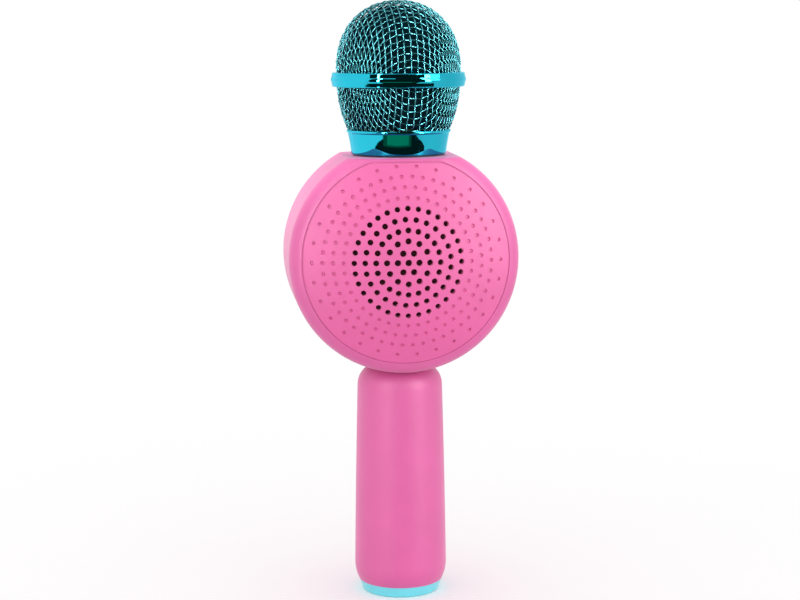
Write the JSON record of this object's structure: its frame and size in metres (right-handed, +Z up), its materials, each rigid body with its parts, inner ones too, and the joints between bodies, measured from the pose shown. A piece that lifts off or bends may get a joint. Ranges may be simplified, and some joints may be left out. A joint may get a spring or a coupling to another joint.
{
  "type": "toy karaoke microphone",
  "caption": "Handheld toy karaoke microphone: woven ball grille on a screw collar, round speaker housing with keys on its back, and a tapered handle on a flat base cap.",
  "frame": {"origin": "centre of the base cap's flat underside, on the handle's axis", "axes": "+Z up along the handle to the grille, -Y out of the loudspeaker's face, +Y out of the control panel, +X to the right seen from the front"},
  "size_m": [0.0952, 0.0623, 0.25],
  "materials": {
    "pink_shell": "satin",
    "pink_plate": "satin",
    "teal_metallised": "polished",
    "teal_wire": "gloss",
    "teal_plastic": "gloss",
    "teal_rubber": "satin",
    "black_foam": "matte",
    "black_rubber": "matte",
    "black_plastic": "satin",
    "white_plastic": "satin",
    "screw_steel": "satin",
    "plated_steel": "satin",
    "ferrite": "matte",
    "copper_wire": "satin",
    "cone_paper": "matte",
    "black_cloth": "matte",
    "spider_cloth": "matte",
    "board_green": "satin",
    "can_metal": "satin",
    "cell_wrap": "gloss",
    "lamp_white": "gloss",
    "lamp_clear": "gloss",
    "lead_red": "satin",
    "lead_grey": "satin"
  },
  "bodies": {
    "housing": {"audio_chips": "black_plastic", "base_cap": "teal_plastic", "base_screws": "screw_steel", "battery_cell": "cell_wrap", "battery_cradle": "black_plastic", "battery_leads": "lead_red", "board_connectors": "white_plastic", "board_screws": "screw_steel", "capacitors": "can_metal", "capsule_boot": "black_rubber", "capsule_leads": "lead_grey", "charging_board": "board_green", "charging_leads": "lead_red", "charging_socket": "plated_steel", "control_plate": "pink_plate", "front_shell": "pink_shell", "grille_cloth": "black_cloth", "grille_screws": "screw_steel", "handle_tube": "pink_shell", "lamp_lens": "lamp_clear", "main_board": "board_green", "mic_capsule": "can_metal", "power_switch_case": "black_plastic", "rear_shell": "pink_shell", "screw_neck": "black_plastic", "shell_screws": "screw_steel", "socket_tongue": "black_plastic", "speaker_basket": "plated_steel", "speaker_gasket": "black_rubber", "speaker_grille": "pink_plate", "speaker_leads": "lead_grey", "speaker_magnet": "ferrite", "speaker_screws": "screw_steel", "speaker_spider": "spider_cloth", "speaker_surround": "black_rubber", "speaker_washer": "plated_steel", "speaker_yoke": "plated_steel", "status_lamp": "lamp_white", "tact_switches": "black_plastic"},
    "carrier": {"collar_gasket": "black_rubber"},
    "head": {"grille_collar": "teal_metallised", "grille_ring": "teal_metallised", "lower_mesh": "teal_wire", "upper_mesh": "teal_wire", "mesh_clamp_ring": "plated_steel", "foam_windscreen": "black_foam"},
    "cone": {"speaker_cone": "cone_paper", "dust_cap": "cone_paper", "voice_coil": "copper_wire"},
    "power_knob": {"power_slider": "black_plastic"},
    "play_key": {"play_button": "teal_rubber", "play_plunger": "black_plastic"},
    "volume_up_key": {"volume_up_button": "teal_rubber", "volume_up_plunger": "black_plastic"},
    "volume_down_key": {"volume_down_button": "teal_rubber", "volume_down_plunger": "black_plastic"},
    "next_key": {"next_button": "teal_rubber", "next_plunger": "black_plastic"},
    "previous_key": {"previous_button": "teal_rubber", "previous_plunger": "black_plastic"}
  },
  "joints": [
    {"name": "head_lift", "type": "slide", "parent": "housing", "child": "carrier", "axis": [0, 0, 1], "range_m": [0, 0.0055]},
    {"name": "head_turn", "type": "hinge", "parent": "carrier", "child": "head", "pos_m": [0, 0, 0.19], "axis": [0, 0, 1], "range_deg": [0, 902]},
    {"name": "cone_travel", "type": "slide", "parent": "housing", "child": "cone", "axis": [0, -1, 0], "range_m": [-0.0005, 0.0005], "stiffness_N_per_m": 2500, "deforming": ["speaker_surround", "speaker_spider"]},
    {"name": "power_slide", "type": "slide", "parent": "housing", "child": "power_knob", "axis": [1, 0, 0], "range_m": [0, 0.003]},
    {"name": "play_press", "type": "slide", "parent": "housing", "child": "play_key", "axis": [0, -1, 0], "range_m": [0, 0.0006], "stiffness_N_per_m": 2500},
    {"name": "volume_up_press", "type": "slide", "parent": "housing", "child": "volume_up_key", "axis": [0, -1, 0], "range_m": [0, 0.0006], "stiffness_N_per_m": 2500},
    {"name": "volume_down_press", "type": "slide", "parent": "housing", "child": "volume_down_key", "axis": [0, -1, 0], "range_m": [0, 0.0006], "stiffness_N_per_m": 2500},
    {"name": "next_press", "type": "slide", "parent": "housing", "child": "next_key", "axis": [0, -1, 0], "range_m": [0, 0.0006], "stiffness_N_per_m": 2500},
    {"name": "previous_press", "type": "slide", "parent": "housing", "child": "previous_key", "axis": [0, -1, 0], "range_m": [0, 0.0006], "stiffness_N_per_m": 2500}
  ],
  "couplings": [
    {"joint": "head_turn", "follows": "head_lift", "rad_per_m": 2856}
  ]
}
